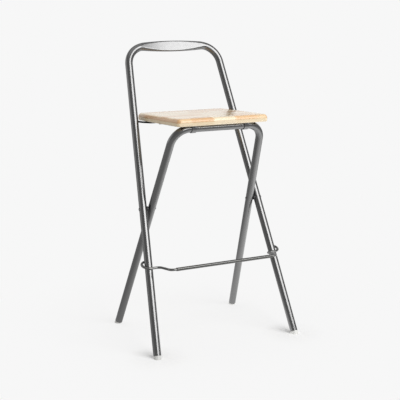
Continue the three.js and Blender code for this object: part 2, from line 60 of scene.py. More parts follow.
# %% [markdown]
# The camera comes first. A long lens from a little over three metres away keeps the legs nearly
# parallel, as a catalogue picture does. The view is from the front left and a little above the
# backrest.

# %% Camera
CAMERA_AZIMUTH = math.radians(-27.80)
CAMERA_ELEVATION = math.radians(10.55)
CAMERA_DISTANCE = 3.138
CAMERA_TARGET = Vector((0, -0.0139, 0.5))
SENSOR_WIDTH, FOCAL_LENGTH, CAMERA_SHIFT = 36, 86.61, (-0.0044, -0.0451)

towards_camera = Vector((
    math.sin(CAMERA_AZIMUTH) * math.cos(CAMERA_ELEVATION),
    -math.cos(CAMERA_AZIMUTH) * math.cos(CAMERA_ELEVATION),
    math.sin(CAMERA_ELEVATION),
))
camera_data = bpy.data.cameras.new("camera")
camera_data.sensor_width, camera_data.lens = SENSOR_WIDTH, FOCAL_LENGTH
camera_data.shift_x, camera_data.shift_y = CAMERA_SHIFT
camera = put("camera", camera_data)
camera.location = CAMERA_TARGET + towards_camera * CAMERA_DISTANCE
camera.rotation_euler = towards_camera.to_track_quat("Z", "Y").to_euler()
scene.camera = camera
scene.view_settings.view_transform = "Standard"
print("camera at", [round(v, 3) for v in camera.location])

# %% [markdown]
# Each finish below is named for its real material. Colours are written as the hex values one
# would read off a screen, and one function turns them into the linear light that the renderer
# works in. The others add nodes, set them and link them.

# %% Colour and node helpers
NOISE_RANGE = (0.3, 0.7)
# The Mix node has an A and a B for each kind of data, told apart by their numbers
VALUE_A, VALUE_B, COLOUR_A, COLOUR_B = 2, 3, 6, 7


def linear(hex_colour):
    """sRGB hex to linear: the low end is a straight line over 12.92, the rest a power of 2.4."""
    srgb = np.array([int(hex_colour[i:i + 2], 16) for i in (1, 3, 5)]) / 255
    light = np.where(srgb <= 0.04045, srgb / 12.92, ((srgb + 0.055) / 1.055) ** 2.4)
    return (*light.tolist(), 1.0)


def add(tree, kind, inputs=None, **settings):
    """A new shader node: sets its properties, and sets or links its inputs by name or number."""
    node = tree.nodes.new("ShaderNode" + kind)
    for name, value in settings.items():
        setattr(node, name, value)
    for key, value in (inputs or {}).items():
        if isinstance(value, bpy.types.NodeSocket):
            tree.links.new(value, node.inputs[key])
        else:
            node.inputs[key].default_value = value
    return node


def calc(tree, operation, *inputs):
    """The result of a Math node."""
    return add(tree, "Math", dict(enumerate(inputs)), operation=operation).outputs[0]


def vector(tree, operation, *inputs, **named):
    """The results of a Vector Math node, its Vector and its Value."""
    inputs = {**dict(enumerate(inputs)), **named}
    return add(tree, "VectorMath", inputs, operation=operation).outputs


def noise(tree, place, size, detail, **more):
    """Soft noise with features of a size. It lies mostly within NOISE_RANGE."""
    inputs = {"Vector": place, "Scale": 1 / size, "Detail": detail, **more}
    return add(tree, "TexNoise", inputs).outputs["Fac"]


def spread(tree, value, low, high, to_low=0.0, to_high=1.0, **settings):
    """Brings a range of values to another range, and holds what lies outside at its ends."""
    return add(tree, "MapRange", {
        "Value": value, "From Min": low, "From Max": high, "To Min": to_low, "To Max": to_high,
    }, **settings).outputs["Result"]


def new_material(name, **constants):
    """An empty Principled material: returns it, its tree and its shader."""
    material = bpy.data.materials.new(name)
    material.use_nodes = True
    tree = material.node_tree
    shader = tree.nodes["Principled BSDF"]
    for socket, value in constants.items():
        shader.inputs[socket.replace("_", " ")].default_value = value
    return material, tree, shader


def finish_look(tree, shader, colour, roughness, height, strength, distance):
    """Links what every finish works out to the shader: colour, roughness and a fine relief."""
    relief = {"Height": height, "Strength": strength, "Distance": distance}
    normal = add(tree, "Bump", relief).outputs["Normal"]
    for socket, result in (("Base Color", colour), ("Roughness", roughness), ("Normal", normal)):
        tree.links.new(result, shader.inputs[socket])


# %% [markdown]
# The tubes are steel under a grey, part-clear lacquer. The lacquer is smooth, so a soft box shows
# in it as one crisp bright band, but it was sprayed, so its colour and its gloss are slightly
# uneven. A metal base colour darker than bare steel gives the grey. The lacquer's cloudiness is
# worked out at 14 mm, and the faint waves that drawing leaves in a tube at 50 mm.

# %% Lacquered steel
CLOUD_SIZE, CLOUD_GLOSS = 14 * MM, 0.03
WAVE_SIZE, WAVE_HEIGHT, WAVE_STRENGTH = 50 * MM, 0.3 * MM, 0.3


def lacquered_steel(name, colour, dark, roughness):
    material, tree, shader = new_material(name, Metallic=0.95)
    place = add(tree, "TexCoord").outputs["Object"]
    cloud = noise(tree, place, CLOUD_SIZE, 2.0)
    tint = add(tree, "Mix", {
        "Factor": cloud, COLOUR_A: linear(dark), COLOUR_B: linear(colour),
    }, data_type="RGBA").outputs[2]
    gloss = spread(tree, cloud, *NOISE_RANGE, roughness - CLOUD_GLOSS, roughness + CLOUD_GLOSS)
    waves = noise(tree, place, WAVE_SIZE, 0.0)
    finish_look(tree, shader, tint, gloss, waves, WAVE_STRENGTH, WAVE_HEIGHT)
    return material


grey_steel = lacquered_steel("grey lacquered steel tube", "#7c7c7c", "#787878", 0.2)
grey_rod_steel = lacquered_steel("grey lacquered steel rod", "#7c7c7b", "#787877", 0.2)
grey_sleeve_steel = lacquered_steel("grey lacquered steel sleeve", "#616160", "#5d5d5b", 0.22)
black_steel = lacquered_steel("black lacquered steel rod", "#2a2a2b", "#222223", 0.35)
zinc_steel = lacquered_steel("zinc plated steel", "#a9abae", "#9a9ca0", 0.3)

# %% [markdown]
# The spacers and the catches are moulded nylon, dyed black, with the fine grain of a spark-eroded
# mould. The glides are natural polyethylene, which is milky: light goes a little way in and comes
# out again, so they glow pale against the floor.

# %% Plastics
GRAIN_TONE, GRAIN_GLOSS, GRAIN_HEIGHT, GRAIN_STRENGTH = 0.1, 0.08, 0.05 * MM, 0.25


def moulded_plastic(name, colour, roughness, grain_size, **constants):
    material, tree, shader = new_material(name, **constants)
    grain = noise(tree, add(tree, "TexCoord").outputs["Object"], grain_size, 2.0)
    tone = spread(tree, grain, 0.0, 1.0, 1 - GRAIN_TONE, 1 + GRAIN_TONE)
    tint = add(tree, "HueSaturation", {"Value": tone, "Color": linear(colour)}).outputs[0]
    gloss = spread(tree, grain, 0.0, 1.0, roughness - GRAIN_GLOSS, roughness + GRAIN_GLOSS)
    finish_look(tree, shader, tint, gloss, grain, GRAIN_STRENGTH, GRAIN_HEIGHT)
    return material


black_nylon = moulded_plastic("black moulded nylon", "#1b1b1c", 0.5, 0.4 * MM, IOR=1.53)
milky_polyethylene = moulded_plastic(
    "natural polyethylene", "#d0d0cd", 0.35, 1.0 * MM,
    IOR=1.51, Subsurface_Weight=0.2, Subsurface_Scale=2 * MM, Subsurface_Radius=(1, 1, 1),
)

# %% [markdown]
# The seat is a board of pine staves under clear lacquer. The staves run from side to side and are
# about 43 mm wide. Each is a row of short blocks, finger jointed end to end, and every block came
# from another plank, so its tone and its grain differ. The pattern is worked out in the board's
# own axes: a Mapping node takes off the board's tilt and puts zero at the bar's axis. The row
# number and the block number pick a random tone, and a zigzag moves the block ends, as the fingers
# do, with a pitch of 8 mm. The tan goes about 13 mm deep under the top, and below that the whole
# board is painted paler: a painted highlight for the lower band of the front edge, which faces the
# soft box. End grain drinks more lacquer, so the board's two ends are browner.
# The lacquer is a coat of its own, and on the flat top, seen at a low angle, it mirrors the room.

# %% Lacquered pine
SEAT_TILT = math.radians(1.8)
BAR_AXIS = np.array([0, -129.431, 694.6])
SEAT_FRONT, STAVE_WIDTH, BLOCK_LENGTH = -37.0, 43.3, 77.0
FINGER_PITCH, FINGER_DEPTH, FINGER_PHASE = 8.0, 7.0, 100.0
ROW_SEED, BLOCK_SEED = 5.25, 27.0
# Height under which the tan is painted paler as a highlight, its blend, and the tan kept there
PAINTED_HIGHLIGHT_BELOW, PAINTED_HIGHLIGHT_BLEND, TAN_LEFT_IN_PAINTED_HIGHLIGHT, END_TAN = 21.0, 1.5, 0.3, 0.7
WOOD_TONES = [(0.0, "#f5e4c6"), (0.5, "#f2dab2"), (0.68, "#e9c193"), (1.0, "#daae80")]
RING_WIDTH, DRIFT_WIDTH, RING_SQUEEZE, LOG_SIZE = 4.5, 22.0, 0.1, 400.0
GLUE_START, GLUE_END, GLUE_TONE = 0.2, 0.7, 0.88
END_FACING, GRAIN_TONES, PINE_ROUGHNESS = (0.3, 0.9), (0.9, 1.06), (0.32, 0.44)
RELIEF_HEIGHT, RELIEF_STRENGTH = 0.2 * MM, 0.2


def about_x(points, angle):
    """Turns points about X: y and z mix by the angle's cosine and sine."""
    c, s = math.cos(angle), math.sin(angle)
    return np.asarray(points) @ np.array([[1, 0, 0], [0, c, s], [0, -s, c]])


def lacquered_pine():
    material, tree, shader = new_material(
        "lacquered finger-jointed pine", IOR=1.5, Specular_IOR_Level=0.15,
        Coat_Weight=1.0, Coat_Roughness=0.22, Coat_IOR=1.5,
    )

    def sums(*terms):
        return calc(tree, *terms)

    def wave(value, period):
        """A zigzag from 0 to half of the period and back."""
        return sums("PINGPONG", value, period / 2)

    coordinates = add(tree, "TexCoord").outputs
    home = about_x(-BAR_AXIS * MM, SEAT_TILT)
    board = add(tree, "Mapping", {
        "Vector": coordinates["Object"], "Location": home.tolist(), "Rotation": (SEAT_TILT, 0, 0),
    })
    millimetres = vector(tree, "SCALE", board.outputs[0], Scale=1 / MM)["Vector"]
    across, along, up = add(tree, "SeparateXYZ", {0: millimetres}).outputs

    # Row of the stave, and the place of its blocks with the zigzag ends of the fingers
    row_place = sums("DIVIDE", sums("SUBTRACT", along, SEAT_FRONT), STAVE_WIDTH)
    row = sums("FLOOR", row_place)
    row_random = add(tree, "TexWhiteNoise", {
        "W": sums("ADD", row, ROW_SEED),
    }, noise_dimensions="1D").outputs["Value"]
    zigzag = wave(sums("ADD", up, FINGER_PHASE), FINGER_PITCH)
    fingers = sums("MULTIPLY", zigzag, FINGER_DEPTH / (FINGER_PITCH / 2))
    block_place = sums("DIVIDE", sums("ADD", across, fingers), BLOCK_LENGTH)
    shifted = sums("ADD", row_random, block_place)
    cell = add(tree, "CombineXYZ", {
        0: sums("ADD", row, BLOCK_SEED), 1: sums("ADD", sums("FLOOR", shifted), BLOCK_SEED),
    })
    tone, own_place = add(tree, "TexWhiteNoise", {
        "Vector": cell.outputs[0],
    }, noise_dimensions="2D").outputs

    # How far the surface looks along the staves, and how much tan a point keeps: all of it within
    # 13 mm of the top, less below, where the paler colour is a painted highlight
    facing = add(tree, "SeparateXYZ", {0: coordinates["Normal"]}).outputs[0]
    end_grain = spread(tree, sums("ABSOLUTE", facing), *END_FACING)
    tan_above_painted_highlight = spread(tree, up, PAINTED_HIGHLIGHT_BELOW - PAINTED_HIGHLIGHT_BLEND, PAINTED_HIGHLIGHT_BELOW + PAINTED_HIGHLIGHT_BLEND, TAN_LEFT_IN_PAINTED_HIGHLIGHT,
                   interpolation_type="SMOOTHSTEP")

    # Tone of each block, from pale sapwood to brown heartwood, painted paler below the top 13 mm as
    # a highlight
    tan_with_painted_highlight = sums("MULTIPLY", sums("MULTIPLY_ADD", end_grain, END_TAN, tone), tan_above_painted_highlight)
    ramp = add(tree, "ValToRGB", {"Fac": tan_with_painted_highlight})
    stops = ramp.color_ramp.elements
    stops.remove(stops[1])
    for i, (position, colour) in enumerate(WOOD_TONES):
        stop = stops[0] if i == 0 else stops.new(position)
        stop.position, stop.color = position, linear(colour)

    # Growth rings: bands 5 mm apart, stretched ten times along the stave, shifted in each block
    shift = vector(tree, "SCALE", own_place, Scale=LOG_SIZE)["Vector"]
    in_log = vector(tree, "ADD", millimetres, shift)["Vector"]
    stretched = vector(tree, "MULTIPLY", in_log, (RING_SQUEEZE, 1.0, 1.0))["Vector"]
    drift = noise(tree, stretched, DRIFT_WIDTH, 3.0)
    rings = noise(tree, stretched, RING_WIDTH, 4.0, Distortion=0.6)
    grain = add(tree, "Mix", {
        "Factor": 0.5, VALUE_A: drift, VALUE_B: rings,
    }, data_type="FLOAT").outputs[0]
    grain_tone = spread(tree, grain, *NOISE_RANGE, *GRAIN_TONES)

    # Glue lines between the staves and at the block ends: half a millimetre, a little darker
    edge = sums("MULTIPLY", wave(row_place, 1.0), STAVE_WIDTH)
    end = sums("MULTIPLY", wave(shifted, 1.0), BLOCK_LENGTH)
    glue = spread(tree, sums("MINIMUM", edge, end), GLUE_START, GLUE_END, GLUE_TONE)
    shade = sums("MULTIPLY", grain_tone, glue)
    tint = add(tree, "HueSaturation", {"Value": shade, "Color": ramp.outputs["Color"]}).outputs[0]
    roughness = spread(tree, grain, *NOISE_RANGE, *PINE_ROUGHNESS)
    finish_look(tree, shader, tint, roughness, shade, RELIEF_STRENGTH, RELIEF_HEIGHT)
    return material


pine = lacquered_pine()
print("pine made, staves of", STAVE_WIDTH, "mm")

# %% [markdown]
# A tube is a round profile carried along a path. The path is worked out first: straight runs
# between corner points, with an arc in each corner that touches both runs. The rings of the
# profile then stand square to it.

# %% Paths and skins
LEAST_STEP = 0.01


def rounded_path(corners, radii, steps):
    """Straight runs with arcs. An arc starts r tan(turn / 2) before its corner, and a point on it
    lies r sin(a) along the run into the corner and r (1 - cos(a)) to its inner side."""
    corners = np.asarray(corners, float)
    parts = [corners[:1]]
    for before, corner, after, radius in zip(corners, corners[1:], corners[2:], radii):
        into = (corner - before) / np.linalg.norm(corner - before)
        out = (after - corner) / np.linalg.norm(after - corner)
        turn = math.acos(np.clip(into @ out, -1, 1))
        inward = out - into * (into @ out)
        inward /= np.linalg.norm(inward)
        angle = np.linspace(0, turn, steps + 1)[:, None]
        start = corner - into * radius * math.tan(turn / 2)
        parts.append(start + radius * (into * np.sin(angle) + inward * (1 - np.cos(angle))))
    parts.append(corners[-1:])
    path = np.concatenate(parts)
    apart = np.linalg.norm(np.diff(path, axis=0), axis=1) > LEAST_STEP
    return path[np.concatenate([[True], apart])]


def carried(path, reference, profile):
    """Rings square to the path. The tangent is the mean of the runs on both sides of a point. The
    profile's first axis is the reference made square to it, the second is their cross product."""
    runs = np.diff(path, axis=0)
    runs /= np.linalg.norm(runs, axis=1, keepdims=True)
    tangent = np.concatenate([runs[:1], runs]) + np.concatenate([runs, runs[-1:]])
    tangent /= np.linalg.norm(tangent, axis=1, keepdims=True)
    first = reference - tangent * (tangent @ reference)[:, None]
    first /= np.linalg.norm(first, axis=1, keepdims=True)
    second = np.cross(tangent, first)
    profile = np.broadcast_to(profile, (len(path), *np.shape(profile)[-2:]))
    return path[:, None] + profile[..., :1] * first[:, None] + profile[..., 1:] * second[:, None]


def grid_faces(rings, count, endless=False):
    """Four-sided faces between neighbours on a grid of rings, closed round each ring."""
    ring = np.arange(rings if endless else rings - 1)[:, None]
    point = np.arange(count)[None]
    after_ring, after_point = (ring + 1) % rings, (point + 1) % count
    corners = [ring * count + point, ring * count + after_point,
               after_ring * count + after_point, after_ring * count + point]
    return np.stack(np.broadcast_arrays(*corners), axis=-1).reshape(-1, 4).tolist()


def circle(radius, sides):
    """Points at a radius, evenly round it."""
    angle = 2 * np.pi * np.arange(sides) / sides
    return radius * np.stack([np.cos(angle), np.sin(angle)], axis=-1)


def make(name, points, faces, material):
    """A mesh object at the origin, in metres, smooth but for its sharp edges, facing outwards."""
    mesh = bpy.data.meshes.new(name)
    mesh.from_pydata((np.asarray(points).reshape(-1, 3) * MM).tolist(), [], faces)
    mesh.materials.append(material)
    turned_out(mesh)
    mesh.shade_smooth()
    mesh.set_sharp_from_angle(angle=SHARP_EDGE)
    return put(name, mesh)


def turned_out(mesh):
    """Turns every face over if the volume, a third of the sum of centre dot area, is negative."""
    count = len(mesh.polygons)
    centre, normal, area = np.empty(count * 3), np.empty(count * 3), np.empty(count)
    mesh.polygons.foreach_get("center", centre)
    mesh.polygons.foreach_get("normal", normal)
    mesh.polygons.foreach_get("area", area)
    if (centre.reshape(-1, 3) * normal.reshape(-1, 3)).sum(axis=1) @ area < 0:
        mesh.flip_normals()


def skin(name, rings, material, endless=False):
    """A surface over rings. Open ends are closed with flat caps."""
    count = rings.shape[1]
    faces = grid_faces(len(rings), count, endless)
    if not endless:
        faces.append(list(range(count)))
        faces.append(list(range((len(rings) - 1) * count, len(rings) * count))[::-1])
    return make(name, rings, faces, material)


def settle(piece, body, slot, *nodes):
    """The piece stands for CAD nodes, which it hides, and rides on a body. The slot is not used."""
    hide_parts(*nodes)
    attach(piece, body)
    print(f"{piece.name}: {len(piece.data.vertices)} points, for {', '.join(nodes)}")


# %% [markdown]
# Both frames are drawn flat, in their own plane, and then leaned about the pivot axis: the outer
# frame leans back and the inner one forward. A leg's half span shrinks evenly from the floor up.

# %% The two frame planes
PIVOT_AXIS = np.array([0, -13.933, 430.7])
PIVOT_HEIGHT = 430.7
OUTER_LEAN = math.atan2(183.8, PIVOT_HEIGHT)
INNER_LEAN = math.atan2(188.5, PIVOT_HEIGHT)
OUTER_RADIUS, INNER_RADIUS, WALL = 12.5, 12.2, 1.5
OUTER_FOOT_SPAN, OUTER_TOP_SPAN, OUTER_TOP = 250.3, 164.5, 931.0
INNER_FOOT_SPAN, INNER_TOP_SPAN, INNER_TOP = 223.179, 154.2, 694.6
GLIDE_RIM = 8.0
ACROSS, FRAME_NORMAL, UPWARD = np.eye(3)


def plane(foot_span, top_span, top, lean):
    """A frame's three functions: half the distance between its legs' centre lines at a height, a
    point of a leg's centre line in the frame's plane, seen from the pivot axis, and the way from
    that plane to the stool."""
    def span(height):
        return foot_span + (top_span - foot_span) * height / top

    def point(side, height):
        return [side * span(height), 0, (height - PIVOT_HEIGHT) / math.cos(lean)]

    def stand(points):
        return about_x(points, lean) + PIVOT_AXIS

    return span, point, stand


outer_span, outer_point, in_outer = plane(OUTER_FOOT_SPAN, OUTER_TOP_SPAN, OUTER_TOP, -OUTER_LEAN)
inner_span, inner_point, in_inner = plane(INNER_FOOT_SPAN, INNER_TOP_SPAN, INNER_TOP, INNER_LEAN)


def in_seat(points):
    """From the seat's axes, with zero on the bar's axis, to the stool."""
    return about_x(points, -SEAT_TILT) + BAR_AXIS


# %% [markdown]
# The outer frame is one tube, bent twice. Along the backrest a press has flattened it, so that it
# doesn't dig into the back: each face has a long flat in the shape of a lens. Steel neither
# stretches nor shrinks much in that press, so the profile's girth grows by 8 per cent at most while
# its thickness goes from 25 mm to 8 mm and back. The profile is therefore a stadium, two half
# circles joined by two flats, walked at an even pace round its girth.

# %% Outer frame tube
BACKREST_HALF, BACKREST_THICKNESS, BACKREST_STRETCH, OUTER_BEND = 121.0, 8.0, 0.08, 66.0
TUBE_SIDES, BEND_STEPS, TOP_BAR_RINGS = 96, 36, 61


def stadium(thickness, girth, sides):
    """Half of the girth: up the flat for a quarter of its share, round a half circle of radius
    t / 2, and back to the middle of the other flat. The other half has both signs turned."""
    radius, girth = np.asarray(thickness, float)[:, None] / 2, girth[:, None]
    flat = (girth - 2 * np.pi * radius) / 4
    walk = (np.arange(sides // 2) / (sides // 2))[None] * girth / 2
    angle = np.clip((walk - flat) / radius, 0, np.pi)
    on_first, on_last = walk < flat, walk > girth / 2 - flat
    x = np.where(on_first, radius, np.where(on_last, -radius, radius * np.cos(angle)))
    y = np.where(on_first, walk, np.where(on_last, girth / 2 - walk, flat + radius * np.sin(angle)))
    half = np.stack([x, y], axis=-1)
    return np.concatenate([half, -half], axis=1)


def press(path):
    """How hard the press bears: 1 in the middle, less by the square of the way to its end."""
    share = path[:, 0] / BACKREST_HALF
    on_backrest = (path[:, 2] > outer_point(1, OUTER_TOP)[2] - OUTER_RADIUS) & (abs(share) < 1)
    return np.where(on_backrest, 1 - share ** 2, 0.0)


def frame_path(point, top, bend, middle):
    """Foot, corner, corner, foot, with more points along the top bar for its change of profile."""
    corners = [point(-1, GLIDE_RIM), point(-1, top), point(1, top), point(1, GLIDE_RIM)]
    path = rounded_path(corners, [bend, bend], BEND_STEPS)
    half = len(path) // 2
    return np.concatenate([path[:half], middle, path[half:]])


def tube_wall(path, radius, pressed, place):
    """The outside rings and, one wall further in, the inside rings, walked back to front. The press
    takes its share of the thickness and adds its share to the girth."""
    thickness = 2 * radius - (2 * radius - BACKREST_THICKNESS) * pressed
    girth = 2 * np.pi * radius * (1 + BACKREST_STRETCH * pressed)
    outside = carried(path, FRAME_NORMAL, stadium(thickness, girth, TUBE_SIDES))
    hollow = stadium(thickness - 2 * WALL, girth - 2 * np.pi * WALL, TUBE_SIDES)
    rings = np.concatenate([outside, carried(path, FRAME_NORMAL, hollow)[::-1]])
    return place(rings.reshape(-1, 3)).reshape(-1, TUBE_SIDES, 3)


top_bar_half = OUTER_TOP_SPAN - OUTER_BEND
middle = np.zeros((TOP_BAR_RINGS, 3))
middle[:, 0] = np.linspace(-top_bar_half, top_bar_half, TOP_BAR_RINGS + 2)[1:-1]
middle[:, 2] = outer_point(1, OUTER_TOP)[2]
outer_path = frame_path(outer_point, OUTER_TOP, OUTER_BEND, middle)
outer_rings = tube_wall(outer_path, OUTER_RADIUS, press(outer_path), in_outer)
outer_tube = skin("backrest_and_front_leg_tube", outer_rings, grey_steel, endless=True)
settle(outer_tube, "outer_frame", "grey_lacquered_steel", "outer_frame_tube")

# %% [markdown]
# The inner frame is a plain round tube of nearly the same size, bent tighter. Its top bar is the
# axle that the seat hangs on.

# %% Inner frame tube
INNER_BEND = 58.0
inner_path = frame_path(inner_point, INNER_TOP, INNER_BEND, np.zeros((0, 3)))
inner_rings = tube_wall(inner_path, INNER_RADIUS, np.zeros(len(inner_path)), in_inner)
inner_tube = skin("seat_bar_and_rear_leg_tube", inner_rings, grey_steel, endless=True)
settle(inner_tube, "inner_frame", "grey_lacquered_steel", "inner_frame_tube")

# %% [markdown]
# Under the rear of the seat a thin black rod crosses the outer frame. Its ends go into holes in
# the legs, and its middle is cranked forward, into the catches.

# %% Support rod
ROD_SIDES, SUPPORT_STEPS = 40, 12
GROOVE_DEPTH, TOUCH = 2.6, 0.3
UNDERSIDE = INNER_RADIUS - GROOVE_DEPTH
SUPPORT_RADIUS, SUPPORT_BEHIND, SUPPORT_BEND = 3.0, 190.0, 11.0
SUPPORT_DROP = UNDERSIDE - SUPPORT_RADIUS - TOUCH
RUN_HALF, SHOULDER_OUT, SHOULDER_BACK = 146.0, 17.0, 33.0
HOLE_FORWARD, HOLE_RISE = 5.3, 4.4


def out_of_outer(points):
    """From the stool back to the outer frame's plane."""
    return about_x(points - PIVOT_AXIS, OUTER_LEAN)


def support_corners(side):
    """From the middle of the leg, by the shoulder, to the end of the straight run."""
    run, shoulder = out_of_outer(in_seat([
        [side * RUN_HALF, SUPPORT_BEHIND, SUPPORT_DROP],
        [side * (RUN_HALF + SHOULDER_OUT), SUPPORT_BEHIND + SHOULDER_BACK, SUPPORT_DROP],
    ]))
    rise = shoulder[2] + HOLE_RISE
    span = outer_span(PIVOT_HEIGHT + rise * math.cos(OUTER_LEAN))
    return [[side * span, -HOLE_FORWARD, rise], shoulder, run]


support_path = rounded_path(
    [*support_corners(-1), *support_corners(1)[::-1]], [SUPPORT_BEND] * 4, SUPPORT_STEPS)
support_rings = carried(support_path, FRAME_NORMAL, circle(SUPPORT_RADIUS, ROD_SIDES))
support_rod = skin("seat_support_cross_rod", in_outer(support_rings), black_steel)
settle(support_rod, "outer_frame", "black_lacquered_steel", "seat_support_rod")

# %% [markdown]
# The footrest is one rod. It starts with a tail behind the leg, hooks round the leg's outside,
# runs inwards in front of it, and dips forward in a neck to the bar. The hooks are tilted, so a
# foot's weight makes them bite on the sloping legs. A loose sleeve over the bar gives the foot a
# thicker rest: its bore widens at both ends, where a dark mouth shows round the rod. Such a turned
# piece is a profile of radius and height, spun round an axis.

# %% Footrest
FOOT_ROD_RADIUS, SLEEVE_RADIUS, SLEEVE_LENGTH = 4.0, 5.5, 346.0
MOUTH_RIM, MOUTH_DEPTH = 0.2, 5.0
HOOK_STEPS, TURNED_SIDES = 20, 64
FOOT_BAR = np.array([0, -162.5, 268.0])
HOOK_TILT = math.radians(15)
HOOK_HEIGHT, FOOT_BEND, TAIL, HOOK_END, BAR_HALF = 266.0, 15.0, 3.0, 30.0, 191.0
STOOL_SHIFT = np.array([0, PIVOT_AXIS[1], 0])

hook_radius = (OUTER_RADIUS + FOOT_ROD_RADIUS + TOUCH) / math.cos(OUTER_LEAN + HOOK_TILT)
hook_across = hook_radius * np.array([0, math.cos(HOOK_TILT), math.sin(HOOK_TILT)])
hook_middle = np.array([0, (HOOK_HEIGHT - PIVOT_HEIGHT) * math.tan(OUTER_LEAN), HOOK_HEIGHT])


def footrest_corners(side):
    """Tail, two corners of the hook, inner end of the hook, and end of the bar."""
    span = outer_span(HOOK_HEIGHT)
    across = side * ACROSS
    behind, ahead = hook_middle + hook_across, hook_middle - hook_across
    return [
        behind + across * (span - TAIL),
        behind + across * (span + hook_radius),
        ahead + across * (span + hook_radius),
        ahead + across * (span - HOOK_END),
        FOOT_BAR + across * BAR_HALF,
    ]


def spun(profile, start, direction, sides=TURNED_SIDES):
    """Rings round an axis: start + height x axis + radius x (cos, sin) square to it."""
    radius, height = np.asarray(profile, float).T[..., None, None]
    axis = np.asarray(direction, float) / np.linalg.norm(direction)
    first = np.cross(UPWARD if abs(axis[2]) < 0.9 else ACROSS, axis)
    first /= np.linalg.norm(first)
    second = np.cross(axis, first)
    ring = circle(1, sides)
    round_axis = ring[:, :1] * first + ring[:, 1:] * second
    return np.asarray(start) + height * axis + radius * round_axis


side_radii = [hook_radius, hook_radius, FOOT_BEND, FOOT_BEND]
footrest_path = rounded_path(
    [*footrest_corners(-1), *footrest_corners(1)[::-1]], side_radii + side_radii[::-1], HOOK_STEPS)
footrest_rings = carried(footrest_path, UPWARD, circle(FOOT_ROD_RADIUS, ROD_SIDES))
footrest = skin("footrest_bent_rod", footrest_rings + STOOL_SHIFT, grey_rod_steel)
settle(footrest, "outer_frame", "grey_lacquered_steel", "footrest_rod")

bore, mouth = FOOT_ROD_RADIUS + TOUCH, SLEEVE_RADIUS - MOUTH_RIM
half_sleeve = SLEEVE_LENGTH / 2
sleeve_profile = [
    [SLEEVE_RADIUS, -half_sleeve], [SLEEVE_RADIUS, half_sleeve], [mouth, half_sleeve],
    [bore, half_sleeve - MOUTH_DEPTH], [bore, MOUTH_DEPTH - half_sleeve], [mouth, -half_sleeve],
]
sleeve_rings = spun(sleeve_profile, FOOT_BAR + STOOL_SHIFT, ACROSS)
sleeve = skin("footrest_loose_sleeve", sleeve_rings, grey_sleeve_steel, endless=True)
settle(sleeve, "footrest_sleeve", "grey_lacquered_steel", "footrest_sleeve")

# %% [markdown]
# The seat board has corners rounded to 15 mm, a full, soft top edge and a rounded bottom edge. It
# is a stack of rings, each the outline drawn in a little, at its own height. Just inside each flat
# face runs one more ring, so that the face's own normal holds right up to the edge and the lacquer
# reflects like a flat.

# %% Seat board
SEAT_HALF_WIDTH, SEAT_DEPTH, SEAT_THICKNESS, CORNER = 160.0, 305.0, 24.0, 15.0
TOP_EDGE, BOTTOM_EDGE, FLAT_RIM = 12.0, 5.0, 1.0
CORNER_POINTS, TOP_STEPS, BOTTOM_STEPS = 13, 10, 5


def outline(inset, height):
    """Rounded rectangles: four quarter circles of the corner's radius less the inset."""
    inset, height = np.atleast_1d(inset)[:, None], np.atleast_1d(height)[:, None]
    quarter = np.arange(4).repeat(CORNER_POINTS)
    angle = (quarter + np.tile(np.linspace(0, 1, CORNER_POINTS), 4)) * np.pi / 2
    x = np.array([1, -1, -1, 1])[quarter] * (SEAT_HALF_WIDTH - CORNER)
    front, rear = SEAT_FRONT + CORNER, SEAT_FRONT + SEAT_DEPTH - CORNER
    y = np.array([rear, rear, front, front])[quarter]
    ring_x = x + (CORNER - inset) * np.cos(angle)
    ring_y = y + (CORNER - inset) * np.sin(angle)
    return np.stack([ring_x, ring_y, height + 0 * ring_x], axis=-1)


def rounded_edge(face, into, radius, steps):
    """From the face's rim outwards: inset r (1 - sin(a)), height r (1 - cos(a)) from the face."""
    angle = np.linspace(0, np.pi / 2, steps + 1)
    return outline(radius * (1 - np.sin(angle)), face + into * radius * (1 - np.cos(angle)))


seat_top = UNDERSIDE + SEAT_THICKNESS
board_rings = np.concatenate([
    outline(BOTTOM_EDGE + FLAT_RIM, UNDERSIDE),
    rounded_edge(UNDERSIDE, 1, BOTTOM_EDGE, BOTTOM_STEPS),
    rounded_edge(seat_top, -1, TOP_EDGE, TOP_STEPS)[::-1],
    outline(TOP_EDGE + FLAT_RIM, seat_top),
])
seat_board = skin("pine_seat_board", in_seat(board_rings), pine)

# %% [markdown]
# A round groove across the underside takes the bar. Where the bar's bends swing past when the
# stool is folded, the groove widens into a shallow relief. Both are cut with the tube itself, made
# 0.3 mm larger: once where it lies now, and once turned about the bar's axis by the seat's swing.
# The rims of the board's large flats are then set sharp, so that the relief's shallow slope doesn't
# bend the light on the flat next to it.

# %% Groove under the seat
FLIP = math.radians(105)
FLAT_AREA = 1000 * MM ** 2

inner_slope = (INNER_FOOT_SPAN - INNER_TOP_SPAN) / INNER_TOP
bar_turn = math.pi / 2 - math.atan(inner_slope * math.cos(INNER_LEAN))
bar_half = INNER_TOP_SPAN - INNER_BEND * math.tan(bar_turn / 2)
run_out = math.sqrt(2 * (INNER_BEND + INNER_RADIUS) * (GROOVE_DEPTH + TOUCH))
groove_half = bar_half + run_out + TOUCH
groove_path = in_seat([[-groove_half, 0, 0], [groove_half, 0, 0]])
larger = circle(INNER_RADIUS + TOUCH, TUBE_SIDES)
groove_tool = skin("groove_tool", carried(groove_path, UPWARD, larger), pine)
path_from_bar = in_inner(inner_path) - BAR_AXIS
folded_path = about_x(path_from_bar, -FLIP) + BAR_AXIS
folded_normal = about_x(FRAME_NORMAL[None], INNER_LEAN - FLIP)[0]
relief_tool = skin("relief_tool", carried(folded_path, folded_normal, larger), pine)
for tool in (groove_tool, relief_tool):
    modifier = seat_board.modifiers.new("groove", "BOOLEAN")
    modifier.operation = "DIFFERENCE"
    modifier.solver = "EXACT"
    modifier.object = tool
depsgraph = bpy.context.evaluated_depsgraph_get()
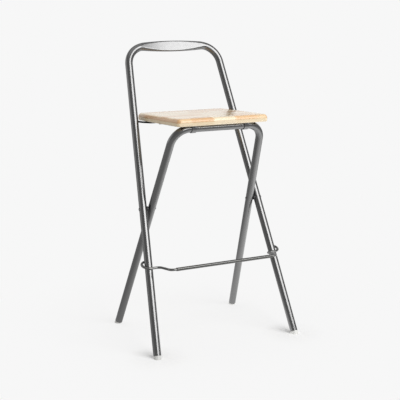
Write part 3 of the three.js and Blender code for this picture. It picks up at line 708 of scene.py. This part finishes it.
grooved = bpy.data.meshes.new_from_object(seat_board.evaluated_get(depsgraph))
seat_board.modifiers.clear()
seat_board.data = grooved
grooved.shade_smooth()
grooved.set_sharp_from_angle(angle=SHARP_EDGE)
for face in grooved.polygons:
    if face.area > FLAT_AREA:
        for loop in face.loop_indices:
            grooved.edges[grooved.loops[loop].edge_index].use_edge_sharp = True
for tool in (groove_tool, relief_tool):
    bpy.data.objects.remove(tool)
settle(seat_board, "seat", "lacquered_wood", "seat_board")

# %% [markdown]
# Two steel straps go round the bar's underside and are screwed to the board in front and behind:
# with the groove they are the seat's hinge. A strap is a centre line drawn from the side, given
# its thickness to both sides, and carried across the strap's width with slightly broken edges.

# %% Clips
CLIP_SPACING, CLIP_WIDTH, CLIP_THICKNESS, FLANGE, CLIP_BEND = 185.0, 16.0, 2.0, 13.0, 1.5
BROKEN_EDGE = 0.35


def strap_rings(line, centre):
    """A strap along a line in the seat's Y and Z. Its profile is a rectangle with broken corners:
    the first axis is across the seat, the second its thickness. The second half of the profile is
    the first with both signs turned."""
    half_w, half_t, b = CLIP_WIDTH / 2, CLIP_THICKNESS / 2, BROKEN_EDGE
    half = np.array([
        [half_w, -half_t + b], [half_w, half_t - b], [half_w - b, half_t], [-half_w + b, half_t],
    ])
    path = np.insert(line, 0, centre, axis=1)
    return in_seat(carried(path, ACROSS, np.concatenate([half, -half])))


def clip_line():
    """Flange, bend, down the side, half round the bar, up, bend, flange."""
    middle_radius = INNER_RADIUS + TOUCH + CLIP_THICKNESS / 2
    level = UNDERSIDE - TOUCH - CLIP_THICKNESS / 2
    tip = INNER_RADIUS + TOUCH + CLIP_THICKNESS + FLANGE
    half_turn = np.linspace(np.pi, 2 * np.pi, 41)
    bowl = middle_radius * np.stack([np.cos(half_turn), np.sin(half_turn)], axis=-1)
    bend = CLIP_BEND + CLIP_THICKNESS / 2
    quarter = np.linspace(0, np.pi / 2, 9)
    left_bend = np.stack([
        -middle_radius - bend + bend * np.sin(quarter), level - bend + bend * np.cos(quarter),
    ], axis=-1)
    left = np.concatenate([[[-tip, level]], left_bend])
    right = left[::-1] * [-1, 1]
    return np.concatenate([left, bowl, right])


for word, side in SIDES:
    strap = skin(f"bar_strap_{word}", strap_rings(clip_line(), side * CLIP_SPACING / 2), grey_steel)
    settle(strap, "seat", "grey_lacquered_steel", f"seat_clip_{word}")

# %% [markdown]
# The catches are moulded: a plate that is screwed to the board, and a finger that curls under the
# rod. Their outline is drawn from the side and pulled across, with its rim drawn in at both faces
# as a mould's draft and rounding would leave it.

# %% Catches
CATCH_SPACING, CATCH_WIDTH, CATCH_LENGTH, CATCH_BASE, FINGER = 210.0, 18.0, 36.0, 4.5, 6.0
CATCH_RIM, MITRE_LIMIT = ((0.0, 0.5), (0.15, 0.15), (0.5, 0.0)), 0.3
UNDERCUT = math.radians(24)
pocket = SUPPORT_RADIUS + TOUCH
catch_top = SUPPORT_DROP + pocket - TOUCH
catch_bottom = catch_top - CATCH_BASE
catch_end = SUPPORT_BEHIND + CATCH_LENGTH


def curve(a, b, c, steps=8):
    """From a to c, pulled towards b: (1 - t)^2 a + 2 t (1 - t) b + t^2 c, without its start."""
    t = np.linspace(0, 1, steps + 1)[1:, None]
    return (1 - t) ** 2 * np.asarray(a) + 2 * t * (1 - t) * np.asarray(b) + t ** 2 * np.asarray(c)


def catch_outline():
    """The pocket's arc, the lip, the rounded fingertip, the heel and the plate, in Y and Z."""
    rod = np.array([SUPPORT_BEHIND, SUPPORT_DROP])
    down = np.array([-math.sin(UNDERCUT), -math.cos(UNDERCUT)])
    out = np.array([math.cos(UNDERCUT), -math.sin(UNDERCUT)])
    start = math.asin((catch_top - SUPPORT_DROP) / pocket)
    arc = np.linspace(start, -UNDERCUT, 13)[:, None]
    cup = rod + pocket * np.concatenate([np.cos(arc), np.sin(arc)], axis=1)
    lip = rod + out * pocket + down * SUPPORT_RADIUS
    heel = lip + out * FINGER
    tip = (lip + heel) / 2 + down * FINGER / 2
    root = [heel[0] + FINGER / 2, catch_bottom]
    return np.concatenate([
        [[catch_end, catch_top]], cup, [lip],
        curve(lip, [lip[0] + down[0], tip[1]], tip),
        curve(tip, [heel[0], tip[1]], heel),
        curve(heel, [heel[0], catch_bottom], root),
        [[catch_end, catch_bottom]],
    ])


def drawn_in(line, distance):
    """A closed outline moved to its inner side: each point goes along the mean of its two edge
    normals. The outline runs clockwise, so the inner side is on the right of each edge."""
    edges = np.roll(line, -1, axis=0) - line
    normals = np.stack([edges[:, 1], -edges[:, 0]], axis=-1)
    normals /= np.linalg.norm(normals, axis=1, keepdims=True)
    mean = normals + np.roll(normals, 1, axis=0)
    mean /= np.maximum((mean * normals).sum(axis=1, keepdims=True), MITRE_LIMIT)
    area = 0.5 * (line[:, 0] * np.roll(line[:, 1], -1) - np.roll(line[:, 0], -1) * line[:, 1]).sum()
    return line + mean * distance * (-1 if area > 0 else 1)


def catch_rings(middle):
    """The outline from face to face. CATCH_RIM pairs a depth under the face with an inset."""
    rim = [(CATCH_WIDTH / 2 - depth, inset) for depth, inset in CATCH_RIM]
    places = [(-x, inset) for x, inset in rim] + rim[::-1]
    line = catch_outline()
    return np.array([
        np.insert(drawn_in(line, inset), 0, middle + x, axis=1) for x, inset in places
    ])


for word, side in SIDES:
    rings = in_seat(catch_rings(side * CATCH_SPACING / 2))
    catch = skin(f"rod_catch_{word}", rings, black_nylon)
    settle(catch, "seat", "black_plastic", f"seat_catch_{word}")

# %% [markdown]
# The rivets are turned pieces too, spun by the same function. They have a low domed head outside
# the outer leg and a flat tail inside the inner leg. A black spacer keeps the tubes apart.

# %% Rivets and spacers
def dome(radius, start, height, steps=10):
    """A quarter of an ellipse from the rim to just short of the pole."""
    angle = np.linspace(0, np.pi / 2, steps + 1)[:-1]
    return np.stack([radius * np.cos(angle), start + height * np.sin(angle)], axis=-1).tolist()


RIVET_RADIUS, HEAD_RADIUS, HEAD_HEIGHT, TAIL_RADIUS, TAIL_HEIGHT = 4.0, 4.9, 0.8, 4.7, 0.8
HEAD_RIM, TAIL_FLAT, POLE, RIVET_SIDES = 0.2, 2.5, 0.05, 48
TAIL_TURN, TAIL_ROUNDING = 1.2, 0.4
SPACER_RADIUS, SPACER_CHAMFER = 7.5, 0.4
outer_pivot, inner_pivot = outer_span(PIVOT_HEIGHT), inner_span(PIVOT_HEIGHT)
outer_slope = (OUTER_FOOT_SPAN - OUTER_TOP_SPAN) / OUTER_TOP
head_seat = outer_pivot + OUTER_RADIUS + outer_slope * HEAD_RADIUS + TOUCH
tail_seat = inner_pivot - INNER_RADIUS - inner_slope * TAIL_RADIUS - TOUCH
spacer_face = inner_pivot + INNER_RADIUS + inner_slope * SPACER_RADIUS + TOUCH

turn = np.linspace(TAIL_TURN, 0.0, 5)
tail_rim = np.stack([
    TAIL_RADIUS * np.cos(turn) ** TAIL_ROUNDING, tail_seat - TAIL_HEIGHT * np.sin(turn),
], axis=-1)
rivet_profile = (
    [[POLE, tail_seat - TAIL_HEIGHT], [TAIL_FLAT, tail_seat - TAIL_HEIGHT], *tail_rim.tolist()]
    + [[RIVET_RADIUS, tail_seat], [RIVET_RADIUS, head_seat], [HEAD_RADIUS - HEAD_RIM, head_seat]]
    + dome(HEAD_RADIUS, head_seat + HEAD_RIM, HEAD_HEIGHT - HEAD_RIM)
    + [[POLE, head_seat + HEAD_HEIGHT]]
)
for word, side in SIDES:
    rings = spun(rivet_profile, PIVOT_AXIS, side * ACROSS, RIVET_SIDES)
    rivet = skin(f"pivot_pin_{word}", rings, grey_steel)
    settle(rivet, "outer_frame", "bright_steel", f"pivot_rivet_{word}")

# %% [markdown]
# The spacer's outer end is a saddle that fits the outer leg. Each ring of it is pulled along the
# pivot axis until it meets a cylinder 0.3 mm larger than the leg: the gap between the leg's centre
# line and its skin is the root of the radius squared less the height off the axis squared.

# %% Spacers
def spacer_rings(side):
    """Inner face, rim, saddle and bore, each a ring; the saddle's places follow the leg."""
    lean = math.atan(outer_slope * math.cos(OUTER_LEAN))

    def saddle(radius):
        ring = circle(radius, TURNED_SIDES)
        off = ring[:, 1]
        reach = np.sqrt((OUTER_RADIUS + TOUCH) ** 2 - off ** 2) / math.cos(lean)
        along = outer_pivot - reach - math.tan(lean) * ring[:, 0]
        return np.stack([along, off, ring[:, 0]], axis=-1)

    def flat(radius, place):
        ring = circle(radius, TURNED_SIDES)
        return np.stack([place + 0 * ring[:, 0], ring[:, 1], ring[:, 0]], axis=-1)

    bore_radius = RIVET_RADIUS + TOUCH
    rings = np.array([
        flat(bore_radius, spacer_face), flat(SPACER_RADIUS - SPACER_CHAMFER, spacer_face),
        flat(SPACER_RADIUS, spacer_face + SPACER_CHAMFER),
        saddle(SPACER_RADIUS), saddle(bore_radius),
    ])
    return rings * [side, 1, 1]


for word, side in SIDES:
    spacer = skin(f"pivot_washer_{word}", in_outer(spacer_rings(side)), black_nylon, endless=True)
    settle(spacer, "outer_frame", "black_plastic", f"pivot_spacer_{word}")

# %% [markdown]
# Each leg ends in a milky plastic glide: a ribbed stem up the bore and a rim as wide as the tube,
# cut flat on the floor. A point of the rim below the floor is slid up the leg's direction until
# it lies on the floor, which is just how a saw cut there would leave it.

# %% Glides
STEM, RIB, UNCUT, GLIDE_CHAMFER, GLIDE_TOP_CHAMFER = 22.0, 1.0, 30.0, 0.6, 0.5


def glide(name, point, place, side, radius):
    """Rings spun round the leg, with the heights below the floor slid up along the leg."""
    top, foot = place([point(side, GLIDE_RIM)])[0], place([point(side, 0)])[0]
    up_leg = (top - foot) / np.linalg.norm(top - foot)
    start = top - up_leg * TOUCH
    bore_radius = radius - WALL - TOUCH
    core = bore_radius - RIB
    profile = [
        [POLE, -UNCUT], [radius - GLIDE_CHAMFER, -UNCUT], [radius, GLIDE_CHAMFER - UNCUT],
        [radius, -GLIDE_TOP_CHAMFER], [radius - GLIDE_TOP_CHAMFER, 0.0],
        [core, 0.0], [core, STEM / 3], [bore_radius, STEM / 3 + RIB], [core, STEM / 3 + 2 * RIB],
        [core, STEM - RIB], [core - RIB, STEM], [POLE, STEM],
    ]
    rings = spun(profile, start, up_leg)
    below = np.minimum(rings[..., 2:], 0) / up_leg[2]
    return skin(name, rings - below * up_leg, milky_polyethylene)


for word, side in SIDES:
    front = glide(f"front_leg_glide_{word}", outer_point, in_outer, side, OUTER_RADIUS)
    settle(front, "outer_frame", "translucent_plastic", f"front_glide_{word}")
    rear = glide(f"rear_leg_glide_{word}", inner_point, in_inner, side, INNER_RADIUS)
    settle(rear, "inner_frame", "translucent_plastic", f"rear_glide_{word}")

# %% [markdown]
# Eight screws hold the clips and the catches. Their pan heads have a cross recess: on the head's
# grid of rings, a point sinks where it lies within the arms of a cross, less towards their ends.

# %% Screws
SHANK_RADIUS, SCREW_LENGTH, SCREW_HEAD, SCREW_HEAD_HEIGHT = 1.7, 18.0, 3.8, 2.4
HEAD_MIDDLE, HEAD_ROUNDING, HEAD_EDGE, EDGE_INSET = 0.03, 0.96, 0.3, 0.2
CROSS_ARM, ARM_SLOPE, CROSS_REACH, REACH_SLOPE, CROSS_DEPTH = 0.55, 0.2, 2.3, 1.2, 1.3


def screw_rings():
    """Head from its middle to its rim, with the cross sunk into it, then the shank."""
    radius = np.linspace(HEAD_MIDDLE, 1, 14) * SCREW_HEAD
    height = -SCREW_HEAD_HEIGHT * np.sqrt(1 - (radius / SCREW_HEAD) ** 3 * HEAD_ROUNDING)
    ring = circle(1, TURNED_SIDES)
    x, y = radius[:, None] * ring[:, 0], radius[:, None] * ring[:, 1]
    arm, reach = np.minimum(abs(x), abs(y)), np.maximum(abs(x), abs(y))
    in_arm = np.clip((CROSS_ARM - arm) / ARM_SLOPE, 0, 1)
    near = np.clip((CROSS_REACH - reach) / REACH_SLOPE, 0, 1)
    sunk = in_arm * near * CROSS_DEPTH
    head = np.stack([x, y, height[:, None] + sunk], axis=-1)
    shank = [[SCREW_HEAD, -HEAD_EDGE], [SCREW_HEAD - EDGE_INSET, 0.0], [SHANK_RADIUS, 0.0],
             [SHANK_RADIUS, SCREW_LENGTH - 2 * SHANK_RADIUS], [POLE, SCREW_LENGTH]]
    rest = [[r * ring[:, 0], r * ring[:, 1], h + 0 * ring[:, 0]] for r, h in shank]
    return np.concatenate([head, np.transpose(rest, (0, 2, 1))])


flange_bottom = UNDERSIDE - TOUCH - CLIP_THICKNESS
clip_reach = INNER_RADIUS + TOUCH + CLIP_THICKNESS + FLANGE / 2
for word, side in SIDES:
    for end, way, share in (("front", -1, 0.47), ("rear", 1, 0.82)):
        places = {
            "clip_screw": [side * CLIP_SPACING / 2, way * clip_reach, flange_bottom - TOUCH],
            "catch_screw": [side * CATCH_SPACING / 2, SUPPORT_BEHIND + share * CATCH_LENGTH,
                            catch_bottom - TOUCH],
        }
        for kind, place in places.items():
            screw = skin(f"{kind}_head_{word}_{end}", in_seat(screw_rings() + place), zinc_steel)
            settle(screw, "seat", "bright_steel", f"{kind}_{word}_{end}")

# %% [markdown]
# The studio is white paper that lies under the stool and stands up behind it, with a dim room in
# front. The camera sees paper and backdrop as one even pale grey. Under the stool a share of the
# paper's brightness is real light that falls on it, and that share holds the shadow. Close to the
# two front feet, which stay where they are when the stool is folded, it is the whole. Both shares
# fade out by a smooth step. The light on the paper grows towards the soft box, by so much per
# metre, and the paper's own glow is lowered by as much.
#
# Metal and scattered light meet the paper as a glow of its own: a painted pool of light to the
# right of the stool, and a dimmer painted glow further off, which light the stool too. They meet
# the backdrop behind the stool, and the dim room in front.
# Right above, the room has a paler ceiling, which lights the seat's top but not its front. One
# large soft box in front, a little to the right, makes the long bright bands. Its right side is
# dimmer, and gives the backrest's flat its soft change from grey to white. Box and room are kept
# low enough for the pale wood to hold its colour when the folded seat faces them.

# %% Floor
PAPER, FLOOR_REACH = "#f7f7f7", 60.0
WIDE_SHARE, WIDE_START, WIDE_END = 0.28, 0.3, 0.8
FOOT_SHARE, FOOT_START, FOOT_END = 1.0, 0.02, 0.16
LIT_LEVEL, LIT_GROWTH = 0.914, (0.053, -0.154, 0.0)
# The painted pool of light: the paper's glow for metal and scattered light, highest at its centre
# and down to a dimmer glow at its radius
PAINTED_POOL_CENTRE, PAINTED_POOL_RADIUS, PAINTED_POOL_LEVEL, PAINTED_PAPER_GLOW = (0.8, -0.15, 0.0), 1.4, 1.94, 0.50

floor_material = bpy.data.materials.new("white studio paper")
floor_material.use_nodes = True
tree = floor_material.node_tree
tree.nodes.clear()


def falloff(value, start, end, inside, outside):
    """A smooth step from one value to another between two distances or heights."""
    return spread(tree, value, start, end, inside, outside, interpolation_type="SMOOTHSTEP")


def glow(kind, strength):
    """Light in the paper's colour."""
    return add(tree, kind, {"Color": linear(PAPER), "Strength": strength}).outputs[0]


def seen_directly():
    """1 on the camera's own rays, also through clear things, and 0 on all others."""
    path = add(tree, "LightPath").outputs
    return calc(tree, "MAXIMUM", path["Is Camera Ray"], path["Is Transmission Ray"])


place = add(tree, "TexCoord").outputs["Object"]
distance = vector(tree, "LENGTH", place)["Value"]
share = falloff(distance, WIDE_START, WIDE_END, WIDE_SHARE, 0.0)
for side in (-1, 1):
    foot = (in_outer([outer_point(side, 0)])[0] * MM).tolist()
    from_foot = vector(tree, "DISTANCE", place, foot)["Value"]
    near_foot = falloff(from_foot, FOOT_START, FOOT_END, FOOT_SHARE, 0.0)
    share = calc(tree, "MAXIMUM", share, near_foot)
growth = vector(tree, "DOT_PRODUCT", place, LIT_GROWTH)["Value"]
lit = calc(tree, "MULTIPLY", share, calc(tree, "ADD", growth, LIT_LEVEL))
rest = calc(tree, "SUBTRACT", 1.0, lit)
scattered = vector(tree, "SCALE", linear(PAPER)[:3], Scale=share)["Vector"]
paper = add(tree, "BsdfDiffuse", {"Color": scattered}).outputs[0]
both = add(tree, "AddShader", {0: glow("Emission", rest), 1: paper}).outputs[0]
# Painted pool of light: what metal and scattered light meet is the paper glowing, brightest near
# the pool's centre
from_painted_pool = vector(tree, "DISTANCE", place, PAINTED_POOL_CENTRE)["Value"]
painted_pool = falloff(from_painted_pool, 0.0, PAINTED_POOL_RADIUS, PAINTED_POOL_LEVEL, PAINTED_PAPER_GLOW)
painted_pool_glow = glow("Emission", painted_pool)
look = add(tree, "MixShader", {"Fac": seen_directly(), 1: painted_pool_glow, 2: both}).outputs[0]
add(tree, "OutputMaterial", {"Surface": look})

floor_mesh = bpy.data.meshes.new("floor")
ways = [(-1, -1, 0), (1, -1, 0), (1, 1, 0), (-1, 1, 0)]
floor_mesh.from_pydata([FLOOR_REACH * Vector(way) for way in ways], [], [(0, 1, 2, 3)])
floor_mesh.materials.append(floor_material)
floor = put("floor", floor_mesh)

# %% Backdrop and room
ROOM_LEVEL, CEILING_LEVEL = 0.35, 0.9
CEILING_START, CEILING_END = math.sin(math.radians(50)), math.sin(math.radians(70))
BACKDROP_TOP, BACKDROP_FADED = math.sin(math.radians(20)), math.sin(math.radians(50))
BACKDROP_SIDE, BACKDROP_FRONT = 0.5, -0.1
world = bpy.data.worlds.new("studio")
scene.world = world
world.use_nodes = True
tree = world.node_tree
tree.nodes.clear()
ray = add(tree, "TexCoord").outputs["Generated"]
_, behind, rise = add(tree, "SeparateXYZ", {0: ray}).outputs
below_top = falloff(rise, BACKDROP_TOP, BACKDROP_FADED, 1.0, 0.0)
at_the_back = falloff(behind, BACKDROP_FRONT, BACKDROP_SIDE, 0.0, 1.0)
reflected = calc(tree, "MULTIPLY", below_top, at_the_back)
pale = calc(tree, "MAXIMUM", seen_directly(), reflected)
overhead = falloff(rise, CEILING_START, CEILING_END, ROOM_LEVEL, CEILING_LEVEL)
room, backdrop = glow("Background", overhead), glow("Background", 1.0)
sky = add(tree, "MixShader", {"Fac": pale, 1: room, 2: backdrop}).outputs[0]
add(tree, "OutputWorld", {"Surface": sky})

# %% Soft box
BOX_PLACE, BOX_AIM = Vector((1.08, -3.22, 2.75)), Vector((0, 0, 1.4))
BOX_HEIGHT = 2.8
box_turn = (BOX_PLACE - BOX_AIM).to_track_quat("Z", "Y")


def soft_box(name, left, right, radiance):
    """A lamp from one place to another along the boxes' width. The energy of a lamp that gives a
    radiance is four times the radiance times its area."""
    lamp = bpy.data.lights.new(name, "AREA")
    lamp.shape = "RECTANGLE"
    lamp.size, lamp.size_y = right - left, BOX_HEIGHT
    lamp.energy = 4 * lamp.size * lamp.size_y * radiance
    box = put(name, lamp)
    box.location = BOX_PLACE + box_turn @ Vector(((left + right) / 2, 0, 0))
    box.rotation_euler = box_turn.to_euler()
    box.visible_camera = False
    print(f"{name}: {lamp.energy:.0f} W")


soft_box("front soft box", left=-1.8, right=1.45, radiance=3.52)
soft_box("dim side of the soft box", left=1.45, right=2.1, radiance=1.58)
